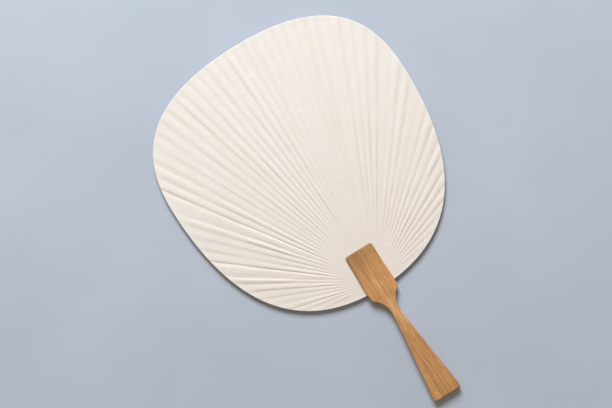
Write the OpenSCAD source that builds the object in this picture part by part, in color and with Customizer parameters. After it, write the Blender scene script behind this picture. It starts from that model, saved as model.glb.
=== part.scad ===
// Round uchiwa fan: a fan of split bamboo ribs between two papers, bound by a
// folded edge strip and held in the slot of a flat wooden handle.
// The fan lies flat. Y runs from the butt of the handle to the crown of the
// face, Z is up, and the underside of the handle is at Z = 0. The shapes are
// drawn with Y = 0 at the bottom edge of the face, and each is then moved so
// that the origin is in the middle of the fan's length. Lengths are in
// millimetres.

/* [Face outline] */
// Width of the face at its widest
face_w = 251; // [220:1:280]
// Height of the face from its bottom edge to the crown
face_h = 260; // [235:1:290]
// Height of the widest place above the bottom edge
widest_y = 161; // [145:1:175]
// How far the crown runs on level before it turns down
crown_arm = 107; // [90:1:120]
// How far the side runs on upright above the widest place
upper_side_arm = 48; // [35:1:60]
// How far the side runs on upright below the widest place
lower_side_arm = 120; // [95:1:135]
// How far the bottom edge runs out level from the handle
bottom_arm = 71; // [55:1:85]

/* [Ribs] */
// Number of ribs in the fan, an even number
rib_count = 54; // [30:2:56]
// Height above the bottom edge of the point that all ribs aim at
fan_centre_y = 7; // [5:0.5:12]
// Angle between the two middle ribs
middle_pitch = 2.3; // [1.8:0.1:2.8]
// Angle of the outermost rib from the middle of the face
outer_rib_angle = 83; // [76:1:86]
// Thickness of a rib
rib_t = 0.7; // [0.4:0.05:1]
// Width of a rib at its root in the handle
rib_root_w = 0.5; // [0.4:0.05:0.7]
// Width of a rib at the edge of the face
rib_tip_w = 1.6; // [1:0.1:2.4]
// Space between neighbouring ribs at their roots
root_gap = 0.15; // [0.1:0.05:0.25]

/* [Papers] */
// Thickness of each paper
paper_t = 0.15; // [0.1:0.01:0.25]
// How far the paper takes to come down from a rib to the other paper
drape_run = 2.6; // [1.5:0.1:3.5]

/* [Edge strip] */
// Width of the folded strip on each side of the face
strip_w = 4.5; // [3:0.5:8]
// Thickness of the strip
strip_t = 0.15; // [0.1:0.01:0.25]
// How far the strip's ends reach in from the sides of the handle's head
strip_tuck = 6; // [3:0.5:10]

/* [Handle outline] */
// Width of the head where it meets the bottom edge of the face
head_w = 29.2; // [26:0.1:34]
// Width of the head at its upper end
head_top_w = 28.2; // [25:0.1:34]
// Height of the head above the bottom edge of the face
head_h = 41.2; // [34:0.2:50]
// Radius of the head's upper corners
head_corner_r = 2.4; // [0.8:0.1:4]
// Distance of the shoulder corners below the face
shoulder_drop = 5.8; // [4:0.1:8]
// Radius of the hollow below each shoulder
shoulder_r = 22; // [20:0.5:26]
// Distance of the narrowest place below the face
neck_drop = 24; // [22:0.5:26]
// Width of the neck
neck_w = 8.4; // [7:0.1:10]
// Radius of the long curve from the neck into the flare
flare_r = 107; // [80:1:140]
// Length of the handle below the face
grip_l = 114.8; // [95:0.2:140]
// Width of the flare where it meets the butt
butt_w = 28.6; // [24:0.2:34]
// Radius of the butt's corners
butt_r = 3; // [1.5:0.1:6]

/* [Handle section] */
// Thickness of the grip
grip_t = 8; // [6.5:0.1:11]
// Thickness of the head at its upper end
head_tip_t = 4.6; // [4:0.1:6]
// Radius of the worn long edges
edge_r = 1; // [0.5:0.1:1.4]

/* [Clearances] */
// Film of glue between rib and paper, paper and paper, paper and strip
glue_gap = 0.02; // [0.01:0.01:0.05]
// Space between the fold of the strip and the trimmed ribs and papers
fold_gap = 0.1; // [0.05:0.05:0.3]
// Space between the strip and each cheek of the slot
slot_fit = 0.04; // [0.02:0.01:0.1]
// Space between the fold of the strip and the bottom of the slot
slot_end_fit = 0.3; // [0.1:0.1:1]

/* [Hidden] */
// Steps along each of the four curves of the face outline
outline_steps = 30;
// Steps round a quarter turn of an edge or corner of the handle
quarter_steps = 4;

// Middle plane of the face and the handle
mid_z = grip_t / 2;
// The face's bottom edge lies this far up from the middle of the whole length
face_bottom_y = (grip_l - face_h) / 2;
// Heights above the middle plane: under the paper on a rib and in a valley,
// and under the strip
on_rib_z = rib_t / 2 + glue_gap;
valley_z = glue_gap;
under_strip_z = on_rib_z + paper_t + glue_gap;
strip_top_z = under_strip_z + strip_t;
// Ribs and papers are trimmed this far inside the outer edge
trim_inset = strip_t + fold_gap;
// Paper's flat cover on each side of a rib before it comes down
rib_cover = 0.06;
// Spare paper all round, before the papers are trimmed along the face
trim_spare = 2;

module placed() {
    translate([0, face_bottom_y, mid_z])
    children();
}

// Points on a cubic curve and its direction
function curve(a, b, c, d, t) =
    a * pow(1 - t, 3) + b * 3 * t * pow(1 - t, 2)
    + c * 3 * pow(t, 2) * (1 - t) + d * pow(t, 3);
function curve_dir(a, b, c, d, t) =
    (b - a) * pow(1 - t, 2) + (c - b) * 2 * t * (1 - t) + (d - c) * pow(t, 2);

crown = [0, face_h];
widest = [face_w / 2, widest_y];
upper_curve = [crown, crown + [crown_arm, 0], widest + [0, upper_side_arm], widest];
lower_curve = [widest, widest - [0, lower_side_arm], [bottom_arm, 0], [0, 0]];

// A point of the outline, moved in square to the edge by inset
function edge_point(c, t, inset) =
    let (
        p = curve(c[0], c[1], c[2], c[3], t),
        d = curve_dir(c[0], c[1], c[2], c[3], t)
    )
    p + [d[1], -d[0]] * inset / norm(d);

// The right half from crown to bottom, and the whole outline clockwise
function half_outline(inset) = concat(
    [for (i = [0:outline_steps - 1]) edge_point(upper_curve, i / outline_steps, inset)],
    [for (i = [0:outline_steps]) edge_point(lower_curve, i / outline_steps, inset)]
);
function face_outline(inset) =
    let (half = half_outline(inset), last = len(half) - 1)
    concat(half, [for (i = [last - 1:-1:1]) [-half[i][0], half[i][1]]]);

// Distance from the fan's centre to an outline in the direction a, measured
// clockwise from the crown
fan_centre = [0, fan_centre_y];
function heading(a) = [sin(a), cos(a)];
function reach(a, loop) =
    [for (i = [0:len(loop) - 1])
        let (
            p = loop[i] - fan_centre,
            q = loop[(i + 1) % len(loop)] - fan_centre,
            p_side = cross(heading(a), p),
            q_side = cross(heading(a), q)
        )
        if (p_side >= 0 && q_side < 0 && p * heading(a) > 0)
            (p + (q - p) * p_side / (p_side - q_side)) * heading(a)
    ][0];

trim_line = face_outline(trim_inset);

// Ribs spread evenly in the middle of the face and wider towards its sides
last_place = (rib_count - 1) / 2;
spread = (outer_rib_angle - middle_pitch * last_place) / pow(last_place, 3);
function rib_place(i) = i - 1 - last_place;
function rib_angle(i) = middle_pitch * rib_place(i) + spread * pow(rib_place(i), 3);
function rib_pitch(i) = middle_pitch + 3 * spread * pow(rib_place(i), 2);
// Roots start where the ribs have just enough room side by side
function rib_root(i) = (rib_root_w + root_gap) / (rib_pitch(i) * PI / 180);
function rib_end(i) = reach(rib_angle(i), trim_line);
function rib_half_w(i, r) =
    rib_root_w / 2
    + (rib_tip_w - rib_root_w) / 2 * (r - rib_root(i)) / (rib_end(i) - rib_root(i));

// Rows of paper points, as shares of the way from the fan's centre to the edge
// of the spare paper, and how far the paper has come down in the valleys there
row_at = [0.16, 0.3, 0.6, 1];
row_down = [0, 0.7, 1, 1];
// Beyond the outermost ribs the paper has points at this angle apart
bare_step = 12;
bare_count = ceil((180 - outer_rib_angle) / bare_step);

// Angle from the middle of a rib to the edge of its flat cover and to the
// foot of the slope beside it, at the distance r
function cover_w(i, r) = rib_half_w(i, r) + rib_cover;
function foot_w(i, r) =
    let (half_pitch = r * rib_pitch(i) * PI / 360)
    cover_w(i, r) + min(drape_run, 0.8 * (half_pitch - cover_w(i, r)));
function as_angle(w, r) = w / r * 180 / PI;

// One row of the paper, clockwise from the left outermost rib: each point is
// [angle, 0 on a rib or 1 in a valley]
function row_columns(k) = concat(
    [for (i = [1:rib_count])
        let (
            a = rib_angle(i),
            r = row_at[k] * (rib_end(i) + trim_spare),
            cover = as_angle(cover_w(i, r), r),
            foot = as_angle(foot_w(i, r), r)
        )
        each [[a - foot, 1], [a - cover, 0], [a + cover, 0], [a + foot, 1]]],
    [for (j = [1:2 * bare_count - 1])
        [outer_rib_angle + (360 - 2 * outer_rib_angle) * j / (2 * bare_count), 1]]
);

// The lower and upper faces of the front paper, row by row
function paper_points(rise) =
    [for (k = [0:len(row_at) - 1])
        for (c = row_columns(k))
            let (
                r = row_at[k] * (reach(c[0], trim_line) + trim_spare),
                p = fan_centre + heading(c[0]) * r,
                down = c[1] * row_down[k]
            )
            [p[0], p[1], on_rib_z + (valley_z - on_rib_z) * down + rise]];

// A sheet from rows of points round a middle point: the middle is a fan of
// triangles, each band between rows is split into triangles, and the rim is
// closed between the lower and upper face
module draped_sheet(lower, upper, columns, rows) {
    n = columns;
    half = n * rows;
    centre_low = 2 * half;
    centre_high = 2 * half + 1;
    centre_z = lower[0][2];
    thick = upper[0][2] - centre_z;
    polyhedron(
        points = concat(
            lower,
            upper,
            [[0, fan_centre_y, centre_z], [0, fan_centre_y, centre_z + thick]]
        ),
        faces = concat(
            [for (c = [0:n - 1]) [centre_low, (c + 1) % n, c]],
            [for (c = [0:n - 1]) [centre_high, half + c, half + (c + 1) % n]],
            [for (k = [0:rows - 2]) for (c = [0:n - 1])
                let (a = k * n + c, b = k * n + (c + 1) % n)
                each [[a, b + n, a + n], [a, b, b + n]]],
            [for (k = [0:rows - 2]) for (c = [0:n - 1])
                let (a = half + k * n + c, b = half + k * n + (c + 1) % n)
                each [[a, a + n, b + n], [a, b + n, b]]],
            [for (c = [0:n - 1])
                let (a = (rows - 1) * n + c, b = (rows - 1) * n + (c + 1) % n)
                each [[a, b + half, a + half], [a, b, b + half]]]
        )
    );
}

// A paper is draped over the ribs with some to spare, then trimmed along the
// edge of the face
module paper() {
    intersection() {
        draped_sheet(
            paper_points(0),
            paper_points(paper_t),
            4 * rib_count + 2 * bare_count - 1,
            len(row_at)
        );
        linear_extrude(2 * grip_t, center = true)
        polygon(trim_line);
    }
}

module front_paper() {
    color([0.94, 0.92, 0.88])
    placed()
    paper();
}

module back_paper() {
    color([0.92, 0.90, 0.86])
    placed()
    mirror([0, 0, 1])
    paper();
}

// A rib is a tapered split whose tip is trimmed along the edge of the face
module rib(i) {
    a = rib_angle(i);
    along = heading(a);
    across = [along[1], -along[0]];
    root = rib_root(i);
    tip = rib_end(i);
    turn = as_angle(rib_half_w(i, tip), tip);
    root_mid = fan_centre + along * root;
    left_tip = fan_centre + heading(a - turn) * reach(a - turn, trim_line);
    right_tip = fan_centre + heading(a + turn) * reach(a + turn, trim_line);
    color([0.80, 0.70, 0.48])
    placed()
    translate([0, 0, -rib_t / 2])
    linear_extrude(rib_t)
    polygon([
        root_mid - across * rib_root_w / 2,
        left_tip,
        right_tip,
        root_mid + across * rib_root_w / 2
    ]);
}

// The strip is folded over the edge: a thin wall along the edge and a band
// on each face, with its two ends tucked into the slot of the handle
module edge_strip() {
    end_gap_w = head_w - 2 * strip_tuck;
    color([0.97, 0.96, 0.93])
    placed()
    difference() {
        translate([0, 0, -strip_top_z])
        linear_extrude(2 * strip_top_z)
        difference() {
            polygon(face_outline(0));
            polygon(face_outline(strip_w));
        }
        translate([0, 0, -under_strip_z])
        linear_extrude(2 * under_strip_z)
        polygon(face_outline(strip_t));
        translate([-end_gap_w / 2, -strip_w, -2 * strip_top_z])
        cube([end_gap_w, 3 * strip_w, 4 * strip_top_z]);
    }
}

// Handle outline: half width at each height, built from the flare's straight
// side, two arcs that meet at the neck, and the head that narrows slightly
neck_half = neck_w / 2;
flare_arc_x = neck_half + flare_r;
hollow_arc_x = neck_half + shoulder_r;
butt_to_arc = [flare_arc_x - butt_w / 2, grip_l - neck_drop];
flare_angle = asin(flare_r / norm(butt_to_arc)) - atan2(butt_to_arc[0], butt_to_arc[1]);
flare_end = -neck_drop - flare_r * sin(flare_angle);
hollow_rise = neck_drop - shoulder_drop;
shoulder_half = hollow_arc_x - sqrt(pow(shoulder_r, 2) - pow(hollow_rise, 2));
// Softening of the shoulder corner
shoulder_soft = 1.2;

function flare_half(y) = neck_half + flare_r * (1 - cos(flare_angle))
    + (flare_end - y) * tan(flare_angle);
function arc_half(y, centre_x, r) =
    centre_x - sqrt(pow(r, 2) - pow(y + neck_drop, 2));
function side_half(y) =
    head_w / 2
    - (head_w / 2 - shoulder_half) * min(1.3, max(0, -y / shoulder_drop))
    - (head_w - head_top_w) / 2 * max(0, y / head_h);
function soft_min(a, b, k) =
    min(a, b) - pow(max(0, k - abs(a - b)), 2) / (4 * k);
function plain_half(y) =
    y < flare_end ? flare_half(y)
    : y < -neck_drop ? arc_half(y, flare_arc_x, flare_r)
    : y < -neck_drop + 0.98 * shoulder_r
        ? soft_min(arc_half(y, hollow_arc_x, shoulder_r), side_half(y), shoulder_soft)
    : side_half(y);
// How much a corner of radius r takes off at the distance d from an end
function corner_cut(d, r) = d >= r ? 0 : r - sqrt(pow(r, 2) - pow(r - max(0, d), 2));
function handle_half(y) =
    plain_half(y) - corner_cut(y + grip_l, butt_r) - corner_cut(head_h - y, head_corner_r);
function handle_t(y) =
    grip_t + (head_tip_t - grip_t) * max(0, y / head_h)
    - 2 * corner_cut(y + grip_l, edge_r) - 2 * corner_cut(head_h - y, edge_r);

// Heights at which the handle has a section, from the butt up
hollow_sweep = asin((hollow_rise - 1.5) / shoulder_r);
quarter = [for (i = [0:quarter_steps]) 90 * i / quarter_steps];
sections = concat(
    [for (a = quarter) -grip_l + butt_r * (1 - cos(a))],
    [for (i = [0:3]) flare_end + (-neck_drop - flare_end) * i / 4],
    [for (i = [0:10]) -neck_drop + shoulder_r * sin(hollow_sweep * i / 10)],
    [for (d = [-1, -0.5, 0, 0.5, 1]) d - shoulder_drop],
    [0],
    [for (a = quarter) head_h - head_corner_r * cos(a)]
);

// A section is a rectangle with rounded corners, standing across the handle
function handle_section(y) =
    let (half = handle_half(y), t = handle_t(y), r = edge_r)
    [for (corner = [[1, 1, 0], [-1, 1, 90], [-1, -1, 180], [1, -1, 270]])
        for (a = quarter)
            [
                corner[0] * (half - r) + r * cos(corner[2] + a),
                y,
                corner[1] * (t / 2 - r) + r * sin(corner[2] + a)
            ]];

module handle_blank() {
    n = 4 * (quarter_steps + 1);
    last = len(sections) - 1;
    polyhedron(
        points = [for (y = sections) each handle_section(y)],
        faces = concat(
            [[for (i = [n - 1:-1:0]) i]],
            [[for (i = [0:n - 1]) last * n + i]],
            [for (k = [0:last - 1]) for (i = [0:n - 1])
                let (a = k * n + i, b = k * n + (i + 1) % n)
                [a, b, b + n, a + n]]
        )
    );
}

// The slot is sawn into the head from above and is open at both sides
module handle() {
    slot_t = 2 * (strip_top_z + slot_fit);
    color([0.74, 0.55, 0.37])
    placed()
    difference() {
        handle_blank();
        translate([-head_w, -slot_end_fit, -slot_t / 2])
        cube([2 * head_w, 2 * head_h, slot_t]);
    }
}

function rib_name(i) = str("rib_", i < 10 ? "0" : "", i);

handle();
front_paper();
back_paper();
edge_strip();
for (i = [1:rib_count])
    rib(i);
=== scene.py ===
import math
from typing import NamedTuple

import bmesh
import bpy
import numpy as np
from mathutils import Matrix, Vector


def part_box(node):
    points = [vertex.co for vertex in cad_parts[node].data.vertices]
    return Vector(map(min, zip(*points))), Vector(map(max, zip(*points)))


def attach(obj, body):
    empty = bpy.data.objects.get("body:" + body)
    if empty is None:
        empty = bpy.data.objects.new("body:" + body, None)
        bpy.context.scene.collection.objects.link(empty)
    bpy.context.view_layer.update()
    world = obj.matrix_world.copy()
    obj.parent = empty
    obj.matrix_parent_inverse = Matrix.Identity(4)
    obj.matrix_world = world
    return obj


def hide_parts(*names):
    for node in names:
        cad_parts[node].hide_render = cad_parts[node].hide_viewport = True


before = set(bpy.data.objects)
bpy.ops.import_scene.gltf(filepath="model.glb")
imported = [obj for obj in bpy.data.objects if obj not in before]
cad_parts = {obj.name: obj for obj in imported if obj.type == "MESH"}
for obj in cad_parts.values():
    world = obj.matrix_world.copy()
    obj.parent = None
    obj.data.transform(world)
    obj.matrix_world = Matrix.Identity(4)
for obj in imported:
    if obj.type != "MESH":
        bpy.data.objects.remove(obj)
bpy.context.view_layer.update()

# Real sizes in metres. The face is a fan of ribs between two papers, with a
# folded strip round its edge, and the handle is one board with a sawn slot.
MM = 0.001
RIB_T = 0.7 * MM
RIB_ROOT_W = 0.5 * MM
RIB_TIP_W = 1.6 * MM
PAPER_T = 0.15 * MM
STRIP_T = 0.15 * MM
GLUE = 0.02 * MM
STRIP_W = 4.5 * MM
FOLD_R = 0.45 * MM
SLOT_FIT = 0.04 * MM
SLOT_END_FIT = 0.3 * MM
STRIP_TUCK = 6 * MM
HEAD_H = 41.2 * MM
HEAD_W = 29.2 * MM

# Places taken from the frame
handle_low, handle_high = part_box("handle")
strip_low, strip_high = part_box("edge_strip")
MID_Z = (handle_low.z + handle_high.z) / 2
GRIP_T = handle_high.z - handle_low.z
HEAD_TOP_Y = handle_high.y
FACE_Y = HEAD_TOP_Y - HEAD_H
BUTT_Y = handle_low.y
FACE_W = strip_high.x - strip_low.x
FACE_H = strip_high.y - FACE_Y
RIB_COUNT = sum(name.startswith("rib_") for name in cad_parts)

# Heights of the outer faces above the middle of the fan
PAPER_TOP = RIB_T / 2 + GLUE + PAPER_T
STRIP_TOP = PAPER_TOP + GLUE + STRIP_T

# Outline of the face: how far the crown, sides and bottom edge run on straight
WIDEST = 161 * MM
CROWN_ARM = 107 * MM
UPPER_SIDE_ARM = 48 * MM
LOWER_SIDE_ARM = 120 * MM
BOTTOM_ARM = 71 * MM

# The fan of ribs: the point that all aim at, and the angles in degrees
FAN_CENTRE = np.array([0.0, FACE_Y + 7 * MM])
MIDDLE_PITCH = 2.3
OUTER_RIB = 83.0


# Curves of the face and the directions of its ribs

def curve(a, b, c, d, t):
    """Points and headings along a cubic curve."""
    t = t[:, None]
    points = a * (1 - t) ** 3 + 3 * b * t * (1 - t) ** 2 + 3 * c * t ** 2 * (1 - t) + d * t ** 3
    headings = (b - a) * (1 - t) ** 2 + 2 * (c - b) * t * (1 - t) + (d - c) * t ** 2
    return points, headings / np.linalg.norm(headings, axis=1)[:, None]


def half_outline(inset):
    """The right half of the face's edge from crown to bottom, moved in by inset."""
    steps = np.linspace(0, 1, 200)
    crown = np.array([0.0, FACE_H])
    side = np.array([FACE_W / 2, WIDEST])
    bottom = np.array([0.0, 0.0])
    upper = curve(crown, crown + [CROWN_ARM, 0], side + [0, UPPER_SIDE_ARM], side, steps)
    lower = curve(side, side - [0, LOWER_SIDE_ARM], bottom + [BOTTOM_ARM, 0], bottom, steps[1:])
    points = np.vstack([upper[0], lower[0]])
    headings = np.vstack([upper[1], lower[1]])
    inward = np.stack([headings[:, 1], -headings[:, 0]], axis=1)
    return points + inward * inset + [0, FACE_Y]


def reach(angle, inset):
    """Distance from the fan's centre to the edge at each angle from the crown, in degrees."""
    rays = half_outline(inset) - FAN_CENTRE
    edge_angle = np.degrees(np.arctan2(rays[:, 0], rays[:, 1]))
    return np.interp(np.abs(angle), edge_angle, np.linalg.norm(rays, axis=1))


def rib_angles():
    """Directions of the ribs on one side, from the middle outwards, in degrees."""
    place = np.arange(0.5, RIB_COUNT / 2)
    spread = (OUTER_RIB - MIDDLE_PITCH * place[-1]) / place[-1] ** 3
    return MIDDLE_PITCH * place + spread * place ** 3


def around(angle, distance):
    """Points at these angles and distances from the fan's centre."""
    turn = np.radians(angle)
    return FAN_CENTRE + np.stack([np.sin(turn), np.cos(turn)], axis=-1) * distance[..., None]


# How the paper lies between the ribs. From each rib outwards it falls into the
# gap and then climbs to the next rib, in most gaps softly and in a few as a
# sharp crease. Some ribs stand a little prouder than others, and each pleat
# changes along its length, so no two are alike.

TRIM = 0.5 * MM
COVER = 0.06 * MM
FALL_STEPS = 6
CLIMB_STEPS = 7
BARE_STEPS = 40

# A rib widens between these distances from the fan's centre, and half of it
# takes up this share of its pitch at most. Beyond the outer ribs there is no
# pitch, and this angle stands in for it. The lines there lie closer together
# towards the rib by this power.
ROOT_OUT = 12 * MM
TIP_OUT = 240 * MM
MOST_HALF_RIB = 0.42
BARE_PITCH = 9.0
BARE_POWER = 1.4

# Usual depth of the sag, rise over a proud rib and height of the cockling, the
# share by which the sag varies, and the clear width that a full sag needs
SAG = 0.33 * MM
PROUD = 0.52 * MM
COCKLE = 0.14 * MM
UNEVEN = 0.5
FULL_ROOM = 2.4 * MM

# The longest fall, and the share of the gap that the fall takes
FALL_RUN = 6.4 * MM
NARROW_FALL = 0.36
WIDE_FALL = 0.6
SHARP_FALL = 0.36
SLOW_FALL = 0.75

# Shares by which the fall's length, the sag and the rise change along a rib
FALL_DRIFT = 0.12
SAG_DRIFT = 0.38
RISE_DRIFT = 0.6
MOST_RISE = 1.6
WAVE_HEIGHTS = (0.7, 0.5, 0.35)
WAVE_LENGTHS = (150 * MM, 63 * MM, 29 * MM)

# The strip holds the paper flatter near the edge, and the handle does so up to
# a distance past its head. A rib stands its full height from RISE_OUT outwards.
HELD_AT = (0, 2 * MM, 6 * MM)
HELD_SHARES = (0.5, 0.85, 1.0)
UNDER_HEAD = 8 * MM
PAST_HEAD = 30 * MM
RISE_OUT = 90 * MM

# Shares of the usual sag and rise. They vary from rib to rib, the sag is less
# in the middle and more at the left, and the rise is more at both sides. Part
# of the rise is a warp that neighbouring ribs have in common, by these weights,
# and part is each rib's own.
SAGS = (0.45, 0.9)
LESS_SAG_MIDDLE = 0.25
MORE_SAG_LEFT = 0.25
USUAL_RISE = 0.4
WARP_RISE = 0.8
OWN_RISE = 0.3
NEIGHBOURS = (0.5, 1, 1, 1, 0.5)
MORE_RISE_LEFT = 0.8
MORE_RISE_RIGHT = 0.25

# Where these differences lie across the fan, from -1 at the left to 1 at the
# right: how wide the middle is, and where the left and both sides start and how
# far on they are in full
MIDDLE_REACH = 0.3
LEFT_FROM, LEFT_RUN = -0.3, 0.2
SIDES_FROM, SIDES_RUN = 0.65, 0.25

# Beyond the lowest line the paper climbs quickly at first and then eases, by 1
# over the first of these, or as a rounded step, by the share of the second
QUICK_CLIMBS = (0.45, 0.95)
SOFT_CLIMBS = (0.5, 1.0)

# Single ribs: faint ones, marked ones, and the three at and beyond a deep crease
FAINT_SAG = 0.6
MARKED_SAG, MARKED_RISE, MARKED_STEEP, MARKED_SOFT = 0.9, 0.5, 2.5, 0.2
DEEP_SAGS = (1.6, 0.1, 0.35)
DEEP_RISES = (0.35, 0.7, 0.85)
DEEP_STEEP = 3.0
UP_SAG = 0.3

# Painted warm shade darkens a crease past the first sag, and the painted shade with thicker pulp in
# a valley is gone at the second
CREASE_SHADE_FROM = 0.45
VALLEY_SHADE_GONE = 1.9


def outer(rib):
    """The next rib outwards, with the ribs counted from left to right."""
    return rib - 1 if rib <= RIB_COUNT / 2 else rib + 1


class Line(NamedTuple):
    """A line of points that runs out from the fan's centre, on a rib or beside it.

    near is that rib and after the next one outwards, counted from 0 at the left,
    and pitch is the angle between them. fallen and climbed are the shares of the
    fall and climb that lie before the line, and bare is its angle beyond the outer
    rib, where no ribs follow.
    """

    rib_angle: float
    side: int
    near: int
    after: int
    pitch: float = 0.0
    past_rib: int = 1
    fallen: float = 1.0
    climbed: float = 0.0
    bare: float = 0.0


def gap(angle, side, near, after, pitch):
    """Lines from a rib's outer edge across the gap to the next rib."""
    falls = [k / FALL_STEPS for k in range(FALL_STEPS + 1)]
    climbs = [k / CLIMB_STEPS for k in range(1, CLIMB_STEPS + 1)] if pitch else []
    lines = [Line(angle, side, near, after, pitch, fallen=share) for share in falls]
    lines += [Line(angle, side, near, after, pitch, climbed=share) for share in climbs]
    return lines


def half_fan(fan, side, bare_lines):
    """Lines of one side, from its middle rib out to the bottom of the face."""
    lines = []
    for (near, angle), beyond in zip(fan, fan[1:] + [None]):
        pitch = abs(beyond[1] - angle) if beyond else 0.0
        after = beyond[0] if beyond else near
        lines.append(Line(angle, side, near, after, pitch, past_rib=0, fallen=0.0))
        lines += gap(angle, side, near, after, pitch)
    for step in range(1, bare_lines + 1):
        bare = (180 - OUTER_RIB) * (step / BARE_STEPS) ** BARE_POWER
        lines.append(Line(side * OUTER_RIB, side, near, near, bare=bare))
    return lines


class Pleats:
    """The lines along which the papers and the strip have points, clockwise from the bottom."""

    def __init__(self, seed, deep):
        rng = np.random.default_rng(seed)
        self.fall_share = rng.uniform(NARROW_FALL, WIDE_FALL, RIB_COUNT)
        self.fall_share[[rib - 1 for rib in deep]] = SHARP_FALL
        self.fall_share[[outer(rib) - 1 for rib in deep]] = SLOW_FALL
        self.phase = rng.uniform(0, 1, (3, 3, RIB_COUNT))
        angles = rib_angles()
        middle = len(angles)
        left = [(middle - 1 - k, -angle) for k, angle in enumerate(angles)]
        right = [(middle + k, angle) for k, angle in enumerate(angles)]
        lines = half_fan(left, -1, BARE_STEPS)[::-1]
        lines += gap(-angles[0], 1, middle - 1, middle, 2 * angles[0])
        lines += half_fan(right, 1, BARE_STEPS - 1)
        columns = dict(zip(Line._fields, np.array(lines, float).T))
        self.near, self.after = (columns.pop(name).astype(int) for name in ("near", "after"))
        self.rib_angle, self.side, self.pitch, self.past_rib = (
            columns[name] for name in ("rib_angle", "side", "pitch", "past_rib")
        )
        self.fallen, self.climbed, self.bare = (
            columns[name] for name in ("fallen", "climbed", "bare")
        )

    def drift(self, kind, rib, out):
        """A slow change along each rib, between about -1 and 1: three waves of their own."""
        waves = zip(WAVE_HEIGHTS, WAVE_LENGTHS, self.phase[kind])
        return sum(
            height * np.sin(2 * math.pi * (out / length + phase[rib]))
            for height, length, phase in waves
        )

    def place(self, out):
        """Angle of each line at this distance out, and how much room its gap has for sag."""
        rib_half = np.interp(out, [ROOT_OUT, TIP_OUT], [RIB_ROOT_W / 2, RIB_TIP_W / 2]) + COVER
        room = np.radians(np.where(self.pitch > 0, self.pitch, BARE_PITCH)) * out
        rib_half = np.minimum(rib_half, MOST_HALF_RIB * room)
        clear = room - 2 * rib_half
        fall = np.minimum(FALL_RUN, self.fall_share[self.near] * clear)
        fall = fall * (1 + FALL_DRIFT * self.drift(0, self.near, out))
        across = (
            self.past_rib * rib_half + self.fallen * fall + self.climbed * (clear - fall)
        )
        turned = np.where(self.bare > 0, self.bare, np.degrees(across / out))
        return self.rib_angle + self.side * turned, np.minimum(1, clear / FULL_ROOM)

    def row(self, share, inset, pull):
        """One row of points at this share of the way to the edge, and how the paper lies there."""
        edge = reach(self.rib_angle, inset)
        angle, room = self.place(share * edge)
        edge = reach(angle, inset)
        out = share * edge
        points = around(angle, out)
        held = np.interp(reach(angle, 0.0) - out, HELD_AT, HELD_SHARES)
        past_head = np.maximum(np.abs(points[:, 0]) - HEAD_W / 2, points[:, 1] - HEAD_TOP_Y)
        from_root = np.clip((past_head + UNDER_HEAD) / PAST_HEAD, 0, 1)
        from_slot = np.clip(past_head / PAST_HEAD, 0, 1) * np.clip(out / RISE_OUT, 0, 1)
        sag = pull["sag"][self.near]
        uneven = 1 + SAG_DRIFT * self.drift(1, self.near, out)
        down = np.minimum(sag * uneven, np.maximum(1.0, sag)) * room * held * from_root
        near, after = (
            pull["proud"][rib] * np.clip(1 + RISE_DRIFT * self.drift(2, rib, out), 0, MOST_RISE)
            for rib in (self.near, self.after)
        )
        low = self.fallen * (1 - self.climbed)
        halfway = 4 * self.fallen * (1 - self.fallen)
        fields = {
            "sag": down,
            "proud": near * held * from_slot,
            "next proud": after * held * from_slot,
            "steep": pull["steep"][self.near],
            "soft": pull["soft"][self.near],
            # crease is the mask of painted warm shade at mid-fall, and valley the mask of painted
            # shade with thicker pulp
            "crease": halfway * np.maximum(down - CREASE_SHADE_FROM, 0),
            "valley": low * np.clip(VALLEY_SHADE_GONE - down, 0, np.minimum(1, 2 * down)),
        }
        return points, fields


def pulls(seed, faint, marked, deep, stays_up):
    """How a paper lies beside each rib, with the ribs from left to right.

    sag is how far it is drawn down beyond the rib and proud how far the rib
    lifts it. steep is how quickly it climbs again beyond its lowest line, and
    soft how rounded that climb is.
    """
    rng = np.random.default_rng(seed)
    across = (np.arange(RIB_COUNT) + 0.5) / RIB_COUNT * 2 - 1
    middle = np.exp(-(across / MIDDLE_REACH) ** 2)
    left = np.clip((LEFT_FROM - across) / LEFT_RUN, 0, 1)
    sides = np.clip((abs(across) - SIDES_FROM) / SIDES_RUN, 0, 1)
    sag = rng.uniform(*SAGS, RIB_COUNT) * (1 - LESS_SAG_MIDDLE * middle)
    sag *= 1 + MORE_SAG_LEFT * left
    single = rng.uniform(-1, 1, RIB_COUNT + len(NEIGHBOURS) - 1)
    warp = np.convolve(single, NEIGHBOURS, "valid") / 3
    proud = USUAL_RISE + WARP_RISE * warp + rng.uniform(-OWN_RISE, OWN_RISE, RIB_COUNT)
    more_rise = np.where(across < 0, MORE_RISE_LEFT, MORE_RISE_RIGHT)
    proud = np.clip(proud, 0, 1) * (1 + more_rise * sides)
    steep = 1 / rng.uniform(*QUICK_CLIMBS, RIB_COUNT)
    soft = rng.uniform(*SOFT_CLIMBS, RIB_COUNT)
    for rib in faint:
        sag[rib - 1] *= FAINT_SAG
        proud[rib - 1] = 0.0
    for rib in marked:
        sag[rib - 1] = MARKED_SAG
        proud[rib - 1] = max(MARKED_RISE, proud[rib - 1])
        steep[rib - 1], soft[rib - 1] = MARKED_STEEP, MARKED_SOFT
    for rib in deep:
        beyond = outer(rib)
        for each, depth, rise in zip((rib, beyond, outer(beyond)), DEEP_SAGS, DEEP_RISES):
            sag[each - 1], proud[each - 1] = depth, rise
        steep[rib - 1], soft[rib - 1], soft[beyond - 1] = DEEP_STEEP, 0.0, 1.0
    for rib in stays_up:
        sag[rib - 1] = UP_SAG
    return {"sag": sag, "proud": proud, "steep": steep, "soft": soft}


# Meshes and node trees

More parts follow.
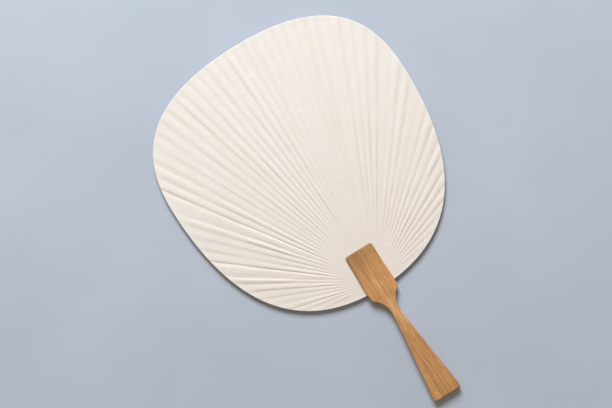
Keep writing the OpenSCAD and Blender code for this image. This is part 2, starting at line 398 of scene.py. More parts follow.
def new_piece(name, points, faces, fields=None):
    """An object with this mesh at the origin, and its point attributes."""
    mesh = bpy.data.meshes.new(name)
    mesh.from_pydata(points.tolist(), [], faces)
    for field, values in (fields or {}).items():
        mesh.attributes.new(field, "FLOAT", "POINT").data.foreach_set(
            "value", np.asarray(values, np.float32)
        )
    piece = bpy.data.objects.new(name, mesh)
    bpy.context.scene.collection.objects.link(piece)
    return piece


def ring_faces(rows, columns, closed):
    """Quads between rows of points, each row running clockwise."""
    faces = []
    last = columns if closed else columns - 1
    for k in range(rows - 1):
        for c in range(last):
            a, b = k * columns + c, k * columns + (c + 1) % columns
            faces.append((a, a + columns, b + columns, b))
    return faces


def outward(mesh):
    """Turns the faces of a closed mesh outwards."""
    work = bmesh.new()
    work.from_mesh(mesh)
    bmesh.ops.recalc_face_normals(work, faces=work.faces)
    work.to_mesh(mesh)
    work.free()


def thicken(piece, thickness):
    """Gives a sheet its thickness behind its face and closes its rim."""
    solid = piece.modifiers.new("thickness", "SOLIDIFY")
    solid.thickness = thickness
    solid.offset = -1
    solid.use_rim = True


# Point attributes that are needed only while a piece is shaped
WORKING_FIELDS = (
    "sag", "proud", "next proud", "steep", "soft", "fallen", "climbed", "side", "rise", "open"
)
PAPER_EDGE = 40
WOOD_EDGE = 35


def settle(piece, sharp_edge):
    """Turns a piece with its modifiers into one plain mesh, sharp at edges past this angle."""
    bpy.context.view_layer.update()
    seen = piece.evaluated_get(bpy.context.evaluated_depsgraph_get())
    mesh = bpy.data.meshes.new_from_object(seen)
    piece.modifiers.clear()
    piece.data = mesh
    for name in WORKING_FIELDS:
        if name in mesh.attributes:
            mesh.attributes.remove(mesh.attributes[name])
    mesh.shade_smooth()
    mesh.set_sharp_from_angle(angle=math.radians(sharp_edge))


class Nodes:
    """Short calls that add nodes to a tree."""

    def node(self, kind, settings=None, **inputs):
        """A node with these settings.

        Its inputs are set or linked by name, with _ for a space, or by number as n0, n1 and on.
        """
        made = self.tree.nodes.new(kind)
        for key, value in (settings or {}).items():
            setattr(made, key, value)
        for key, value in inputs.items():
            numbered = key[0] == "n" and key[1:].isdigit()
            socket = made.inputs[int(key[1:]) if numbered else key.replace("_", " ")]
            if isinstance(value, bpy.types.NodeSocket):
                self.tree.links.new(value, socket)
            else:
                socket.default_value = value
        return made.outputs

    def math(self, operation, a, b=0.0):
        return self.node("ShaderNodeMath", {"operation": operation}, n0=a, n1=b)[0]


class Tree(Nodes):
    """A geometry node tree with named inputs."""

    def __init__(self, name, inputs):
        self.tree = bpy.data.node_groups.new(name, "GeometryNodeTree")
        face = self.tree.interface
        face.new_socket("Geometry", in_out="INPUT", socket_type="NodeSocketGeometry")
        face.new_socket("Geometry", in_out="OUTPUT", socket_type="NodeSocketGeometry")
        self.sockets = {}
        for label, kind in inputs.items():
            self.sockets[label] = face.new_socket(
                label, in_out="INPUT", socket_type="NodeSocket" + kind
            ).identifier
        self.given = self.tree.nodes.new("NodeGroupInput").outputs

    def field(self, name):
        return self.node(
            "GeometryNodeInputNamedAttribute", {"data_type": "FLOAT"}, Name=name
        )["Attribute"]

    def smooth(self, value):
        """A rounded step from 0 to 1."""
        return self.node("ShaderNodeMapRange", {"interpolation_type": "SMOOTHSTEP"}, Value=value)[0]

    def noise(self, place, scale):
        return self.node(
            "ShaderNodeTexNoise", {"noise_dimensions": "3D"}, Vector=place, Scale=scale, Detail=1.0
        )[0]

    def end(self, geometry, material):
        """Realize Instances and Set Material, and then the output."""
        real = self.node("GeometryNodeRealizeInstances", Geometry=geometry)[0]
        made = self.node("GeometryNodeSetMaterial", Geometry=real, Material=material)[0]
        self.tree.links.new(made, self.tree.nodes.new("NodeGroupOutput").inputs[0])

    def put_on(self, piece, **values):
        """Adds the tree to a piece, with its inputs set by socket identifier."""
        modifier = piece.modifiers.new("shape", "NODES")
        modifier.node_group = self.tree
        for label, value in values.items():
            modifier[self.sockets[label.replace("_", " ")]] = value


# Waves per metre: broad ones in the sag and finer ones in the cockling
BROAD_WAVES = 24.0
FINE_WAVES = 75.0


def drape_tree():
    """Lets the flat sheet down between the ribs and over the prouder ones."""
    tree = Tree("drape over ribs", {
        "Sag": "Float", "Proud": "Float", "Unevenness": "Float", "Cockle": "Float",
        "Material": "Material",
    })
    fall = tree.smooth(tree.field("fallen"))
    still_to_climb = tree.math("SUBTRACT", 1.0, tree.field("climbed"))
    quick_climb = tree.math(
        "SUBTRACT", 1.0, tree.math("POWER", still_to_climb, tree.field("steep"))
    )
    soft_climb = tree.smooth(tree.field("climbed"))
    climb = tree.node(
        "ShaderNodeMix", {"data_type": "FLOAT"}, n0=tree.field("soft"), n2=quick_climb,
        n3=soft_climb
    )[0]
    low = tree.math("MULTIPLY", fall, tree.math("SUBTRACT", 1.0, climb))
    place = tree.node("GeometryNodeInputPosition")[0]
    wave = tree.noise(place, BROAD_WAVES)
    even = tree.math("SUBTRACT", 1.0, tree.math("MULTIPLY", wave, tree.given["Unevenness"]))
    sag = tree.math("MULTIPLY", tree.field("sag"), tree.given["Sag"])
    down = tree.math("MULTIPLY", tree.math("MULTIPLY", sag, even), low)
    near = tree.math("MULTIPLY", tree.field("proud"), tree.math("SUBTRACT", 1.0, fall))
    after = tree.math("MULTIPLY", tree.field("next proud"), climb)
    up = tree.math("MULTIPLY", tree.math("ADD", near, after), tree.given["Proud"])
    small = tree.math("MULTIPLY", tree.noise(place, FINE_WAVES), tree.given["Cockle"])
    cockle = tree.math("MULTIPLY", small, tree.math("MINIMUM", tree.field("sag"), 1.0))
    up = tree.math("ADD", up, cockle)
    rise = tree.math("MULTIPLY", tree.math("SUBTRACT", up, down), tree.field("side"))
    offset = tree.node("ShaderNodeCombineXYZ", Z=rise)[0]
    moved = tree.node("GeometryNodeSetPosition", Geometry=tree.given["Geometry"], Offset=offset)
    tree.end(moved[0], tree.given["Material"])
    return tree


# Fibres on the papers. One is drawn at a length of about 1 and scaled to its
# real length, and has its full thickness at its usual length.
FIBRES_PER_SQUARE_METRE = 1500.0
SHORT_FIBRE = 3.0 * MM
USUAL_FIBRE = 4.0 * MM
LONG_FIBRE = 10.0 * MM
FIBRE_T = 0.3 * MM
FIBRE_BEND_R = 1.4
FIBRE_BEND = math.radians(38)
FIBRE_RISE = 0.25 * MM
FIBRE_LIFT = 0.015 * MM
FIBRE_CLEAR = 10 * MM
FACING_UP = 0.6


def one_fibre(tree):
    """A thin bent tube, with each point's height above the paper as an attribute."""
    arc = tree.node(
        "GeometryNodeCurveArc", Resolution=8, Radius=FIBRE_BEND_R,
        Start_Angle=-FIBRE_BEND / 2, Sweep_Angle=FIBRE_BEND
    )[0]
    bend = tree.node("GeometryNodeTransform", Geometry=arc, Translation=(-FIBRE_BEND_R, 0, 0))[0]
    thread = tree.node(
        "GeometryNodeCurvePrimitiveCircle", Resolution=4,
        Radius=tree.math("DIVIDE", tree.given["Thickness"], 2 * USUAL_FIBRE)
    )[0]
    tube = tree.node("GeometryNodeCurveToMesh", Curve=bend, Profile_Curve=thread, Fill_Caps=True)[0]
    height = tree.node("ShaderNodeSeparateXYZ", Vector=tree.node("GeometryNodeInputPosition")[0])[2]
    return tree.node(
        "GeometryNodeStoreNamedAttribute", {"data_type": "FLOAT", "domain": "POINT"},
        Geometry=tube, Name="rise",
        Value=tree.math("ADD", tree.math("MULTIPLY", height, FIBRE_RISE), FIBRE_LIFT)
    )[0]


def fibre_tree():
    """Scatters short curved fibres over a paper and lays them on its surface."""
    tree = Tree("lay fibres", {
        "Paper": "Object", "Side": "Float", "Count per Area": "Float",
        "Shortest": "Float", "Longest": "Float", "Thickness": "Float",
        "Seed": "Int", "Material": "Material",
    })
    side, seed = tree.given["Side"], tree.given["Seed"]
    up = tree.node("GeometryNodeInputNormal")[0]
    facing = tree.math("MULTIPLY", tree.node("ShaderNodeSeparateXYZ", Vector=up)["Z"], side)
    points = tree.node(
        "GeometryNodeDistributePointsOnFaces",
        Mesh=tree.given["Geometry"],
        Selection=tree.math("GREATER_THAN", facing, FACING_UP),
        Density=tree.math("MULTIPLY", tree.given["Count per Area"], tree.field("open")),
        Seed=seed,
    )["Points"]
    turn = tree.node(
        "FunctionNodeRandomValue", {"data_type": "FLOAT_VECTOR"},
        n0=(0, 0, 0), n1=(0, 0, 2 * math.pi), Seed=seed
    )[0]
    size = tree.node(
        "FunctionNodeRandomValue", {"data_type": "FLOAT"},
        n2=tree.given["Shortest"], n3=tree.given["Longest"], Seed=tree.math("ADD", seed, 1)
    )[1]
    laid = tree.node(
        "GeometryNodeInstanceOnPoints",
        Points=points, Instance=one_fibre(tree), Rotation=turn, Scale=size
    )[0]
    real = tree.node("GeometryNodeRealizeInstances", Geometry=laid)[0]
    above = tree.node("ShaderNodeSeparateXYZ", Vector=tree.node("GeometryNodeInputPosition")[0])
    paper = tree.node("GeometryNodeObjectInfo", Object=tree.given["Paper"])["Geometry"]
    start = tree.node("ShaderNodeCombineXYZ", X=above[0], Y=above[1], Z=side)[0]
    down = tree.node("ShaderNodeCombineXYZ", Z=tree.math("MULTIPLY", side, -1.0))[0]
    hit = tree.node(
        "GeometryNodeRaycast", {"data_type": "FLOAT"},
        Target_Geometry=paper, Source_Position=start, Ray_Direction=down, Ray_Length=2.0
    )
    rise = tree.node("ShaderNodeCombineXYZ", Z=tree.field("rise"))[0]
    on_paper = tree.node(
        "ShaderNodeVectorMath", {"operation": "ADD"}, n0=hit["Hit Position"], n1=rise
    )[0]
    settled = tree.node(
        "GeometryNodeSetPosition", Geometry=real, Selection=hit["Is Hit"], Position=on_paper
    )[0]
    tree.end(settled, tree.given["Material"])
    return tree


# The two papers, the strip and their fibres

# How deep the strip's inner face lies in the papers that it is stuck to
STUCK_IN = 0.02 * MM


def drape_over_ribs(piece, material):
    drape.put_on(
        piece, Sag=SAG, Proud=PROUD, Unevenness=UNEVEN, Cockle=COCKLE, Material=material
    )


def paper_sheet(name, node, side, pull, material):
    """A paper as rows of points out from the fan's centre, draped and given its thickness."""
    near_centre, outwards = np.linspace(0.04, 0.3, 16)[:-1], np.linspace(0.3, 1, 34)
    shares = np.concatenate([near_centre, outwards[:-1], [0.99, 1]])
    rows = [pleats.row(share, TRIM, pull) for share in shares]
    flat = np.vstack([points for points, _ in rows] + [FAN_CENTRE[None]])
    place = np.column_stack([flat, np.full(len(flat), MID_Z + side * PAPER_TOP)])
    count = len(pleats.rib_angle)
    middle = len(rows) * count
    faces = ring_faces(len(rows), count, closed=True)
    faces += [(middle, c, (c + 1) % count) for c in range(count)]
    if side > 0:
        faces = [face[::-1] for face in faces]
    fields = {
        field: np.append(np.concatenate([given[field] for _, given in rows]), 0.0)
        for field in rows[0][1]
    }
    fields["fallen"] = np.append(np.tile(pleats.fallen, len(rows)), 0.0)
    fields["climbed"] = np.append(np.tile(pleats.climbed, len(rows)), 0.0)
    fields["side"] = np.full(len(flat), float(side))
    sheet = new_piece(name, place, faces, fields)
    drape_over_ribs(sheet, material)
    thicken(sheet, PAPER_T)
    settle(sheet, PAPER_EDGE)
    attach(sheet, "root")
    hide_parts(node)
    return sheet


def strip_section():
    """Distance in from the edge and height of the strip's outer face, then of its inner face.

    Its long edges are torn thin, so they blend into the papers.
    """
    turn = np.radians(np.linspace(0, 90, 6))
    face = [(STRIP_W, PAPER_TOP + 1.2 * GLUE), (STRIP_W * 0.75, PAPER_TOP + 3 * GLUE)]
    face += [(STRIP_W * 0.5, STRIP_TOP - 0.06 * MM), (STRIP_W * 0.25, STRIP_TOP - 0.01 * MM)]
    face += [(FOLD_R * (1 - math.sin(a)), STRIP_TOP - FOLD_R * (1 - math.cos(a))) for a in turn]
    under = [(max(inset, TRIM * 0.6), min(height, PAPER_TOP) - STUCK_IN) for inset, height in face]
    face += [(inset, -height) for inset, height in face[::-1]]
    under += [(inset, -height) for inset, height in under[::-1]]
    return np.array(face + under[::-1])


def band_faces(rows, count):
    """Quads all round the strip's section and along its length, with both ends closed."""
    faces = ring_faces(rows, count, closed=False)
    faces += [
        ((rows - 1) * count + c, c, c + 1, (rows - 1) * count + c + 1) for c in range(count - 1)
    ]
    for column, turn in ((0, 1), (count - 1, -1)):
        for k in range(rows // 2 - 1):
            cap = (k, k + 1, rows - 2 - k, rows - 1 - k)
            faces.append(tuple(r * count + column for r in cap[::turn]))
    return faces


def edge_band(front_pull, back_pull, material):
    """The strip folded over the edge, with its ends tucked into the slot."""
    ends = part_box("handle")[1].x - STRIP_TUCK
    columns = len(pleats.rib_angle)
    kept = np.ones(columns, bool)
    points = []
    # The strip also carries the masks of painted shade in the creases and valleys
    held = ("sag", "proud", "next proud", "crease", "valley")
    fields = {name: [] for name in (*held, "steep", "soft", "side")}
    for inset, height in strip_section():
        pull = front_pull if height > 0 else back_pull
        share = reach(pleats.rib_angle, inset) / reach(pleats.rib_angle, TRIM)
        xy, given = pleats.row(share, TRIM, pull)
        kept &= ~((np.abs(xy[:, 0]) < ends) & (xy[:, 1] < FACE_Y + 3 * STRIP_W))
        hold = min(1.0, abs(height) / STRIP_TOP)
        points.append(np.column_stack([xy, np.full(columns, MID_Z + height)]))
        for field in held:
            fields[field].append(given[field] * hold)
        fields["steep"].append(given["steep"])
        fields["soft"].append(given["soft"])
        fields["side"].append(np.full(columns, np.sign(height)))
    first = int(np.argmin(kept))
    order = np.roll(np.arange(columns), -first)
    order = order[kept[order]]
    rows = len(points)
    faces = band_faces(rows, len(order))
    fields = {name: np.concatenate([row[order] for row in part]) for name, part in fields.items()}
    fields["fallen"] = np.tile(pleats.fallen[order], rows)
    fields["climbed"] = np.tile(pleats.climbed[order], rows)
    band = new_piece("edge_band", np.vstack([row[order] for row in points]), faces, fields)
    outward(band.data)
    drape_over_ribs(band, material)
    settle(band, PAPER_EDGE)
    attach(band, "root")
    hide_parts("edge_strip")


def paper_fibres(name, paper, side, seed, material):
    """Fine fibres that stand a little proud of a paper."""
    piece = new_piece(name, np.zeros((0, 3)), [])
    piece.data = paper.data.copy()
    place = np.empty(3 * len(piece.data.vertices), np.float32)
    piece.data.vertices.foreach_get("co", place)
    x, y, _ = place.reshape(-1, 3).T
    ray = np.stack([x, y], axis=1) - FAN_CENTRE
    inside = reach(np.degrees(np.arctan2(*ray.T)), 0.0) - np.linalg.norm(ray, axis=1)
    past_head = (np.abs(x) > HEAD_W) | (y > HEAD_TOP_Y + FIBRE_CLEAR)
    piece.data.attributes.new("open", "FLOAT", "POINT").data.foreach_set(
        "value", ((inside > FIBRE_CLEAR) & past_head).astype(np.float32)
    )
    lay.put_on(
        piece, Paper=paper, Side=float(side), Count_per_Area=FIBRES_PER_SQUARE_METRE,
        Shortest=SHORT_FIBRE, Longest=LONG_FIBRE, Thickness=FIBRE_T, Seed=seed, Material=material
    )
    settle(piece, PAPER_EDGE)
    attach(piece, "root")


# The handle

HEAD_TOP_W = 28.2 * MM
HEAD_CORNER_R = 2.4 * MM
SHOULDER_DROP = 5.8 * MM
SHOULDER_R = 22 * MM
SHOULDER_SOFT = 1.2 * MM
NECK_DROP = 24 * MM
NECK_W = 8.4 * MM
FLARE_R = 107 * MM
BUTT_W = 28.6 * MM
BUTT_R = 3 * MM
HEAD_TIP_T = 4.6 * MM
WORN_R = 1 * MM
CORNER_STEPS = 7


def corner_cut(distance, radius):
    """How much a round corner takes off at this distance from an end."""
    short = np.clip(radius - distance, 0, radius)
    return radius - np.sqrt(radius ** 2 - short ** 2)


def handle_half(y):
    """Half width of the handle at heights measured from the face's bottom edge."""
    neck = NECK_W / 2
    grip_l = FACE_Y - BUTT_Y
    arc_x, hollow_x = neck + FLARE_R, neck + SHOULDER_R
    across, along = arc_x - BUTT_W / 2, grip_l - NECK_DROP
    slope = math.asin(FLARE_R / math.hypot(across, along)) - math.atan2(across, along)
    flare_end = -NECK_DROP - FLARE_R * math.sin(slope)
    flare = neck + FLARE_R * (1 - math.cos(slope)) + (flare_end - y) * math.tan(slope)
    rise = y + NECK_DROP
    waist = arc_x - np.sqrt(np.maximum(FLARE_R ** 2 - rise ** 2, 0))
    hollow = hollow_x - np.sqrt(np.maximum(SHOULDER_R ** 2 - rise ** 2, 0))
    hollow = np.where(rise > 0.98 * SHOULDER_R, 1.0, hollow)
    shoulder = hollow_x - math.sqrt(SHOULDER_R ** 2 - (NECK_DROP - SHOULDER_DROP) ** 2)
    side = HEAD_W / 2 - (HEAD_W / 2 - shoulder) * np.clip(-y / SHOULDER_DROP, 0, 1.3)
    side -= (HEAD_W - HEAD_TOP_W) / 2 * np.clip(y / HEAD_H, 0, 1)
    soft = np.maximum(0, SHOULDER_SOFT - np.abs(hollow - side)) ** 2 / (4 * SHOULDER_SOFT)
    head = np.minimum(hollow, side) - soft
    plain = np.where(y < flare_end, flare, np.where(y < -NECK_DROP, waist, head))
    return plain - corner_cut(y + grip_l, BUTT_R) - corner_cut(HEAD_H - y, HEAD_CORNER_R)


def handle_board(material):
    """The board as sections with worn edges along its length, with the slot sawn out."""
    grip_l = FACE_Y - BUTT_Y
    quarter = np.radians(np.linspace(0, 90, CORNER_STEPS))
    stations = np.concatenate([
        -grip_l + BUTT_R * (1 - np.cos(quarter)),
        np.linspace(-grip_l + BUTT_R, -NECK_DROP, 34)[1:-1],
        np.linspace(-NECK_DROP, -SHOULDER_DROP + 1.5 * MM, 44),
        np.linspace(-SHOULDER_DROP + 2 * MM, HEAD_H - HEAD_CORNER_R, 22)[:-1],
        HEAD_H - HEAD_CORNER_R * np.cos(quarter),
    ])
    half = handle_half(stations)
    thick = GRIP_T + (HEAD_TIP_T - GRIP_T) * np.clip(stations / HEAD_H, 0, 1)
    thick -= 2 * corner_cut(stations + grip_l, WORN_R) + 2 * corner_cut(HEAD_H - stations, WORN_R)
    points = []
    for y, w, t in zip(stations, half, thick):
        for x_sign, z_sign, start in ((1, 1, 0), (-1, 1, 90), (-1, -1, 180), (1, -1, 270)):
            for a in quarter + math.radians(start):
                points.append((
                    x_sign * (w - WORN_R) + WORN_R * math.cos(a),
                    FACE_Y + y,
                    MID_Z + z_sign * (t / 2 - WORN_R) + WORN_R * math.sin(a),
                ))
    count = 4 * CORNER_STEPS
    faces = ring_faces(len(stations), count, closed=True)
    faces.append(tuple(range(count)))
    faces.append(tuple((len(stations) - 1) * count + i for i in range(count)))
    board = new_piece("handle_board", np.array(points), faces)
    outward(board.data)
    saw = slot_cutter()
    cut = board.modifiers.new("slot", "BOOLEAN")
    cut.operation = "DIFFERENCE"
    cut.solver = "EXACT"
    cut.object = saw
    settle(board, WOOD_EDGE)
    bpy.data.objects.remove(saw)
    board.data.materials.clear()
    board.data.materials.append(material)
    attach(board, "root")
    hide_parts("handle")


def slot_cutter():
    """A block where the slot is sawn in from the head's upper end."""
    half_t = STRIP_TOP + SLOT_FIT
    low = (-HEAD_W, FACE_Y - SLOT_END_FIT, MID_Z - half_t)
    high = (HEAD_W, FACE_Y + 2 * HEAD_H, MID_Z + half_t)
    corners = np.array([(x, y, z) for x in (low[0], high[0]) for y in (low[1], high[1])
                        for z in (low[2], high[2])])
    faces = [(0, 1, 3, 2), (4, 6, 7, 5), (0, 4, 5, 1), (2, 3, 7, 6), (0, 2, 6, 4), (1, 5, 7, 3)]
    return new_piece("saw", corners, faces)


# Materials

class Finish(Nodes):
    """A material whose nodes are made with short calls."""

    def __init__(self, name, roughness, specular):
        self.material = bpy.data.materials.new(name)
        self.material.use_nodes = True
        self.tree = self.material.node_tree
        self.shader = self.tree.nodes["Principled BSDF"]
        self.shader.inputs["Roughness"].default_value = roughness
        self.shader.inputs["Specular IOR Level"].default_value = specular
        self.place = self.node("ShaderNodeTexCoord")["Object"]

    def noise(self, scale, detail=2.0, distortion=0.0, roughness=0.5):
        """Noise on the object, with its own count per metre along X, Y and Z."""
        stretched = self.node("ShaderNodeMapping", Vector=self.place, Scale=scale)[0]
        return self.node(
            "ShaderNodeTexNoise", Vector=stretched, Scale=1.0, Detail=detail,
            Distortion=distortion, Roughness=roughness
        )["Fac"]

    def field(self, name):
        return self.node("ShaderNodeAttribute", {"attribute_name": name})["Fac"]

    def spread(self, value, low, high, to_low=0.0, to_high=1.0):
        """The value's range from low to high spread over another range, and kept in it."""
        return self.node(
            "ShaderNodeMapRange", {"clamp": True}, Value=value, From_Min=low, From_Max=high,
            To_Min=to_low, To_Max=to_high
        )[0]

    def blend(self, share, a, b, kind="MIX"):
        """Colour b over colour a by share, laid over it or multiplied with it."""
        a, b = (
            colour if isinstance(colour, bpy.types.NodeSocket) else (*colour, 1)
            for colour in (a, b)
        )
        return self.node(
            "ShaderNodeMix", {"data_type": "RGBA", "blend_type": kind}, n0=share, n6=a, n7=b
        )[2]

    def done(self, colour, height, height_mm, roughness=None):
        """Links the colour, the bump of this height and any varied roughness."""
        self.tree.links.new(colour, self.shader.inputs["Base Color"])
        bump = self.node("ShaderNodeBump", Strength=1.0, Distance=height_mm * MM, Height=height)[0]
        self.tree.links.new(bump, self.shader.inputs["Normal"])
        if roughness is not None:
            self.tree.links.new(roughness, self.shader.inputs["Roughness"])
        return self.material


# Papers, each paler at the crown and warmer low down, and what tones them: painted warm shade in
# the creases, painted shade with thicker pulp in the valleys, and the paper's own threads and
# flecks
FACE_PALE, FACE_WARM = (0.83, 0.785, 0.725), (0.80, 0.725, 0.655)
STRIP_PALE, STRIP_WARM = (0.84, 0.797, 0.74), (0.81, 0.737, 0.67)
FIBRE_PALE, FIBRE_WARM = (0.93, 0.89, 0.84), (0.91, 0.85, 0.78)
VALLEY_SHADE_AND_PULP = (0.78, 0.73, 0.68)
CREASE_SHADE = (0.76, 0.63, 0.49)
THREAD_TONE = (0.9, 0.865, 0.82)
FLECK_TONE = (0.55, 0.48, 0.4)
WARM_RUN = 150 * MM


def washi(name, pale, warm, threads):
    """Handmade paper: cloudy, with painted shade where it is drawn down, partly thicker pulp in the
    valleys, and faint threads and flecks.
    """
    skin = Finish(name, roughness=0.85, specular=0.2)
    along = skin.node("ShaderNodeSeparateXYZ", Vector=skin.place)[1]
    lower = skin.spread(along, HEAD_TOP_Y + WARM_RUN, FACE_Y)
    cloud = skin.spread(skin.noise((30, 30, 30), detail=3.0), 0.38, 0.66, -0.15, 0.15)
    colour = skin.blend(skin.math("ADD", lower, cloud), pale, warm)
    # Painted shade in the valleys, where less light falls, together with their thicker pulp
    colour = skin.blend(skin.math("MULTIPLY", skin.field("valley"), 0.6), colour, VALLEY_SHADE_AND_PULP)
    # Painted warm shade in the creases, strongest where the paper falls steepest
    colour = skin.blend(skin.math("MULTIPLY", skin.field("crease"), 0.5), colour, CREASE_SHADE)
    lines = skin.noise((90, 90, 90), detail=1.0, distortion=1.2)
    thin = skin.math("ABSOLUTE", skin.math("SUBTRACT", lines, 0.5))
    broken = skin.spread(skin.noise((65, 65, 65), detail=1.0), 0.52, 0.58)
    thread = skin.math("MULTIPLY", skin.spread(thin, 0.0, 0.012, threads, 0.0), broken)
    colour = skin.blend(thread, colour, THREAD_TONE)
    flecks = skin.spread(skin.noise((520, 520, 520), detail=0.0), 0.8, 0.84)
    colour = skin.blend(skin.math("MULTIPLY", flecks, 0.15), colour, FLECK_TONE)
    tooth = skin.noise((1400, 1400, 1400), detail=3.0)
    cockle = skin.math("MULTIPLY", skin.noise((240, 240, 240), detail=3.0), 7.0)
    height = skin.math("ADD", skin.math("ADD", tooth, cockle), skin.math("MULTIPLY", thread, 1.5))
    return skin.done(colour, height, 0.02)


# Wood tones. The last two darken the tone that they are laid over.
WOOD_LIGHT, WOOD_MID, WOOD_DARK = (0.78, 0.42, 0.168), (0.58, 0.293, 0.11), (0.3, 0.133, 0.043)
WOOD_RED, WOOD_PALE = (0.6, 0.28, 0.1), (0.86, 0.54, 0.26)
HEAD_AGE, GRIP_AGE = (0.5, 0.5, 0.48), (0.85, 0.85, 0.85)


def handle_wood():
    """Light brown wood with straight grain and fine dark pores.

    It is deeper in tone at the upper end of its head and towards its butt, and
    palest at its waist.
    """
    skin = Finish("handle wood", roughness=0.5, specular=0.35)
    across, along, _ = skin.node("ShaderNodeSeparateXYZ", Vector=skin.place)
    bands = skin.spread(skin.noise((380, 6, 150), detail=3.0, distortion=0.4), 0.38, 0.64)
    colour = skin.blend(bands, WOOD_LIGHT, WOOD_MID)
    patches = skin.spread(skin.noise((70, 16, 40), detail=2.0), 0.4, 0.62, 0.0, 0.35)
    colour = skin.blend(patches, colour, WOOD_RED)
    left = skin.spread(across, 14 * MM, -10 * MM, 0.5, 1.0)
    aged = skin.math("MULTIPLY", skin.spread(along, FACE_Y + 7 * MM, HEAD_TOP_Y), left)
    colour = skin.blend(aged, colour, HEAD_AGE, "MULTIPLY")
    handled = skin.spread(along, FACE_Y - 32 * MM, FACE_Y - 54 * MM)
    colour = skin.blend(handled, colour, GRIP_AGE, "MULTIPLY")
    from_waist = skin.math("ABSOLUTE", skin.math("SUBTRACT", along, FACE_Y - 25 * MM))
    colour = skin.blend(skin.spread(from_waist, 0.0, 20 * MM, 0.4, 0.0), colour, WOOD_PALE)
    streaks = skin.spread(skin.noise((750, 18, 420), detail=3.0, roughness=0.65), 0.46, 0.62)
    colour = skin.blend(skin.math("MULTIPLY", streaks, 0.52), colour, WOOD_DARK)
    pores = skin.spread(skin.noise((1700, 90, 1100), detail=1.0), 0.56, 0.68)
    colour = skin.blend(skin.math("MULTIPLY", pores, 0.6), colour, WOOD_DARK)
    height = skin.math("SUBTRACT", skin.math("MULTIPLY", streaks, -0.3), pores)
    rough = skin.spread(streaks, 0.0, 1.0, 0.46, 0.6)
    return skin.done(colour, height, 0.03, rough)


def bamboo():
    """Pale split bamboo with fibres along the fan."""
    skin = Finish("split bamboo", roughness=0.6, specular=0.3)
    fibres = skin.spread(skin.noise((900, 60, 900), detail=3.0), 0.35, 0.65)
    colour = skin.blend(fibres, (0.66, 0.50, 0.26), (0.50, 0.35, 0.16))
    knots = skin.spread(skin.noise((60, 60, 60), detail=1.0), 0.62, 0.75)
    colour = skin.blend(skin.math("MULTIPLY", knots, 0.4), colour, (0.38, 0.26, 0.12))
    return skin.done(colour, fibres, 0.02)


def plain_floor():
    """A pale floor with a barely uneven tone."""
    skin = Finish("pale floor", roughness=0.9, specular=0.1)
    tone = skin.noise((9, 9, 9), detail=2.0)
    colour = skin.blend(skin.spread(tone, 0.3, 0.7), (0.47, 0.52, 0.60), (0.50, 0.55, 0.63))
    return skin.done(colour, tone, 0.05)


# Floor, light and camera

FLOOR_REACH = 3.0
FLOOR_DROP = 0.2 * MM
PHOTO_TURN = math.radians(32.1)
VIEW_W = 0.5626
VIEW_MIDDLE = Vector((-0.0177, FACE_Y + 0.1023, MID_Z))
LENS = 85.0
SENSOR = 36.0
LIGHT_TURN = math.radians(19)
LIGHT_RISE = math.radians(42)
LIGHT_AWAY = 2.2
LIGHT_SIZE = 1.0
KEY_WATTS = 55.0
KEY_COLOUR = (0.955, 1.0, 1.06)
SKY = 0.27
SKY_COLOUR = (1.17, 1.0, 0.82, 1)
BACKDROP_COLOUR = (0.45, 0.5, 0.58, 1)


def make_floor():
    """A wide floor just under the fan."""
    corners = np.array([
        (x * FLOOR_REACH, y * FLOOR_REACH, -FLOOR_DROP)
        for x, y in ((-1, -1), (1, -1), (1, 1), (-1, 1))
    ])
    floor = new_piece("floor", corners, [(0, 1, 2, 3)])
    floor.data.materials.append(plain_floor())


def make_light():
    """One wide soft lamp from beyond the crown."""
    lamp = bpy.data.lights.new("window", "AREA")
    lamp.shape = "SQUARE"
    lamp.size = LIGHT_SIZE
    lamp.energy = KEY_WATTS
    lamp.color = KEY_COLOUR
    window = bpy.data.objects.new("window", lamp)
    away = Vector((
        math.sin(LIGHT_TURN) * math.cos(LIGHT_RISE),
        math.cos(LIGHT_TURN) * math.cos(LIGHT_RISE),
        math.sin(LIGHT_RISE),
    ))
    window.location = VIEW_MIDDLE + away * LIGHT_AWAY
    window.rotation_euler = away.to_track_quat("Z", "Y").to_euler()
    bpy.context.scene.collection.objects.link(window)


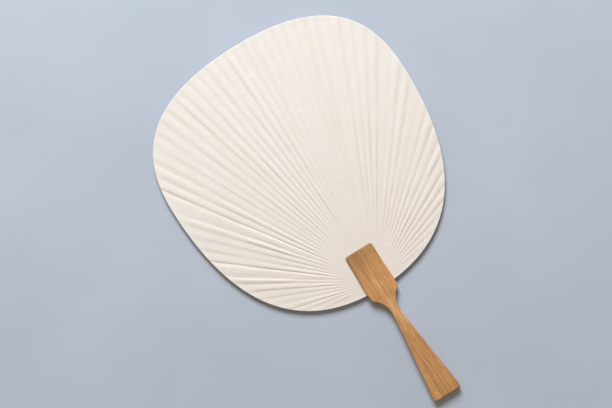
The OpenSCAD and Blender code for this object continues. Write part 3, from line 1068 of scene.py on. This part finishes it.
def make_sky():
    """An even sky that lights the shadows, and is seen as a backdrop of the floor's tone."""
    world = bpy.data.worlds.new("sky")
    world.use_nodes = True
    tree = world.node_tree
    light = tree.nodes["Background"]
    light.inputs["Color"].default_value = SKY_COLOUR
    light.inputs["Strength"].default_value = SKY
    backdrop = tree.nodes.new("ShaderNodeBackground")
    backdrop.inputs["Color"].default_value = BACKDROP_COLOUR
    seen = tree.nodes.new("ShaderNodeLightPath").outputs["Is Camera Ray"]
    mix = tree.nodes.new("ShaderNodeMixShader")
    tree.links.new(seen, mix.inputs[0])
    tree.links.new(light.outputs[0], mix.inputs[1])
    tree.links.new(backdrop.outputs[0], mix.inputs[2])
    tree.links.new(mix.outputs[0], tree.nodes["World Output"].inputs["Surface"])
    bpy.context.scene.world = world


def make_camera():
    """Straight above the fan, turned as the photograph is."""
    lens = bpy.data.cameras.new("camera")
    lens.lens = LENS
    lens.sensor_width = SENSOR
    camera = bpy.data.objects.new("camera", lens)
    camera.location = VIEW_MIDDLE + Vector((0, 0, VIEW_W * LENS / SENSOR))
    camera.rotation_euler = (0, 0, -PHOTO_TURN)
    bpy.context.scene.collection.objects.link(camera)
    bpy.context.scene.camera = camera


bpy.context.scene.view_settings.view_transform = "Standard"
make_floor()
make_light()
make_sky()
make_camera()

face_washi = washi("face washi", FACE_PALE, FACE_WARM, 0.5)
strip_washi = washi("edge washi", STRIP_PALE, STRIP_WARM, 0.3)
fibre_finish = washi("paper fibre", FIBRE_PALE, FIBRE_WARM, 0.0)

# Where one paper is drawn deep into a gap, the other stays up
front_deep = (9, 14)
back_deep = (24, 44)
pleats = Pleats(3, front_deep)
drape = drape_tree()
lay = fibre_tree()
front_pull = pulls(
    11, faint=(12, 31, 36, 41), marked=(3, 6, 15, 46, 49, 51), deep=front_deep,
    stays_up=back_deep
)
back_pull = pulls(
    29, faint=(6, 15, 22, 33), marked=(5, 10, 19, 40, 47), deep=back_deep, stays_up=front_deep
)

front = paper_sheet("front_sheet", "front_paper", 1, front_pull, face_washi)
back = paper_sheet("back_sheet", "back_paper", -1, back_pull, face_washi)
edge_band(front_pull, back_pull, strip_washi)
paper_fibres("front_fibres", front, 1, 5, fibre_finish)
paper_fibres("back_fibres", back, -1, 8, fibre_finish)
handle_board(handle_wood())

split = bamboo()
for name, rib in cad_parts.items():
    if name.startswith("rib_"):
        rib.data.materials.clear()
        rib.data.materials.append(split)
